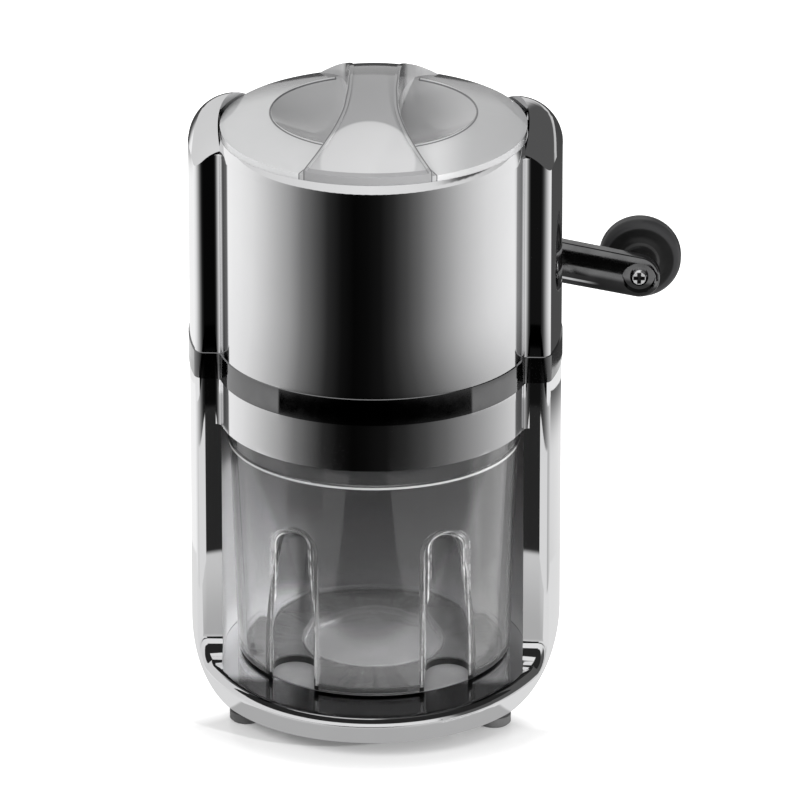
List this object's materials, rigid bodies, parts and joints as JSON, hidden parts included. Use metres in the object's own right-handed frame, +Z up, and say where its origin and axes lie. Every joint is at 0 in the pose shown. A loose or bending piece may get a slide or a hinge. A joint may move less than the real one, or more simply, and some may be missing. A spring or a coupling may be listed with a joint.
{
  "type": "ice shaver with crank",
  "caption": "Upright hand cranked ice shaver: chrome body with a clear domed lid, a rear crank with a round knob, and a clear bucket that slides out from under the hopper.",
  "frame": {"origin": "middle of the bounding box, on the plane the feet stand on", "axes": "+Z up along the hopper, -Y towards the front where the bucket slides out, +X towards the crank's knob"},
  "size_m": [0.19, 0.186, 0.251],
  "materials": {
    "chrome_shell": "mirror plated",
    "black_gloss": "gloss",
    "black_matt": "satin",
    "foot_rubber": "matt",
    "liner_plastic": "satin",
    "bush_plastic": "satin",
    "blade_steel": "brushed",
    "screw_steel": "plated",
    "clear_plastic": "clear gloss"
  },
  "bodies": {
    "housing": {"upper_housing": "chrome_shell", "lower_frame": "chrome_shell", "mid_band": "black_gloss", "bottom_cover": "black_matt", "foot_front_left": "foot_rubber", "foot_front_right": "foot_rubber", "foot_rear_left": "foot_rubber", "foot_rear_right": "foot_rubber", "base_screws": "screw_steel", "bucket_rest": "foot_rubber", "hopper_liner": "liner_plastic", "crusher_cage": "black_matt", "cage_screws": "screw_steel", "throat_plate": "black_matt", "breaker_comb": "blade_steel", "front_bush": "bush_plastic", "rear_bush": "bush_plastic", "rear_cover": "black_gloss", "rear_cover_screws": "screw_steel"},
    "crank": {"drive_shaft": "blade_steel", "shaft_retainer": "blade_steel", "rotor_spacers": "bush_plastic", "crank_arm": "black_gloss", "crank_nut": "screw_steel", "knob_spindle": "blade_steel", "knob_screw": "screw_steel", "rotor_blade_1": "blade_steel", "rotor_blade_2": "blade_steel", "rotor_blade_3": "blade_steel", "rotor_blade_4": "blade_steel", "rotor_blade_5": "blade_steel"},
    "knob": {"knob": "black_matt", "knob_cap": "black_gloss"},
    "lid": {"lid": "clear_plastic"},
    "bucket": {"bucket": "clear_plastic"}
  },
  "joints": [
    {"name": "crank_turn", "type": "hinge", "parent": "housing", "child": "crank", "pos_m": [-0.0225, 0.06045, 0.159], "axis": [0, 1, 0], "continuous": true},
    {"name": "knob_spin", "type": "hinge", "parent": "crank", "child": "knob", "pos_m": [0.0787, 0.07545, 0.1398], "axis": [0, 1, 0], "continuous": true},
    {"name": "lid_lift", "type": "slide", "parent": "housing", "child": "lid", "axis": [0, 0, 1], "range_m": [0, 0.06]},
    {"name": "bucket_slide", "type": "slide", "parent": "housing", "child": "bucket", "axis": [0, -1, 0], "range_m": [0, 0.15]}
  ]
}
